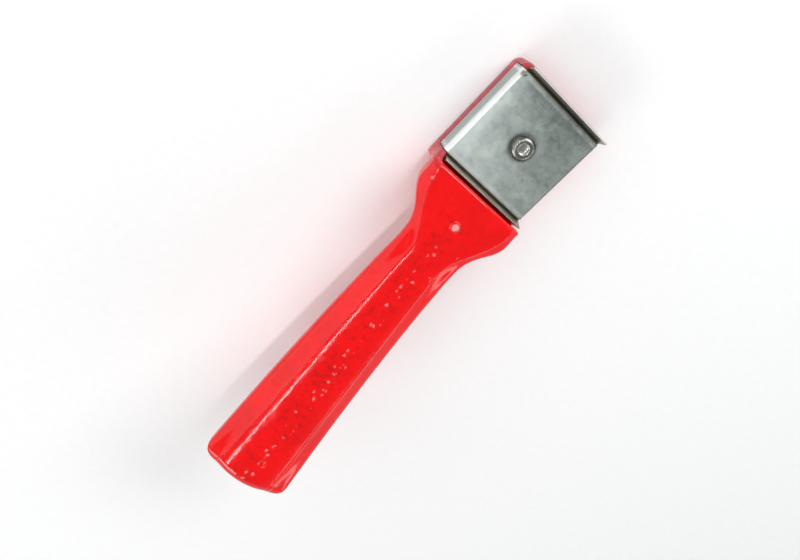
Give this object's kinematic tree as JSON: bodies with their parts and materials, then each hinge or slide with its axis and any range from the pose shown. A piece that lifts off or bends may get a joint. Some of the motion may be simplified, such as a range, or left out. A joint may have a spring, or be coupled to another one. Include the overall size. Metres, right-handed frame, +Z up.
{
  "type": "hive tool",
  "caption": "Pull scraper for beehives: a moulded grip whose head clamps a blade with two upturned scraping lips under a square cover plate and a button-head screw.",
  "frame": {"origin": "on the flat underside of the head, straight below the clamping screw's axis", "axes": "+Z up through the clamping screw towards the cover plate's outer face, +Y from the grip to the working lip, +X to the right seen from the grip, the side the blade slides out of"},
  "size_m": [0.048, 0.1917, 0.0588],
  "materials": {
    "red_enamel": "glossy, slightly uneven",
    "insert_brass": "turned and knurled",
    "blade_steel": "dark tempered, ground bright at the edges",
    "cover_steel": "satin zinc",
    "screw_steel": "bright zinc"
  },
  "bodies": {
    "handle": {"handle": "red_enamel", "threaded_insert": "insert_brass"},
    "cover": {"cover_plate": "cover_steel"},
    "screw": {"clamp_screw": "screw_steel"},
    "blade": {"blade": "blade_steel"}
  },
  "joints": [
    {"name": "cover_lift", "type": "slide", "parent": "handle", "child": "cover", "axis": [0, 0, 1], "range_m": [0, 0.009]},
    {"name": "screw_turn", "type": "hinge", "parent": "cover", "child": "screw", "pos_m": [0, 0, 0.0165], "axis": [0, 0, 1], "range_deg": [0, 3240.5]},
    {"name": "blade_slide", "type": "slide", "parent": "handle", "child": "blade", "axis": [1, 0, 0], "range_m": [0, 0.042]}
  ],
  "couplings": [
    {"joint": "screw_turn", "follows": "cover_lift", "rad_per_m": 6283.2}
  ]
}
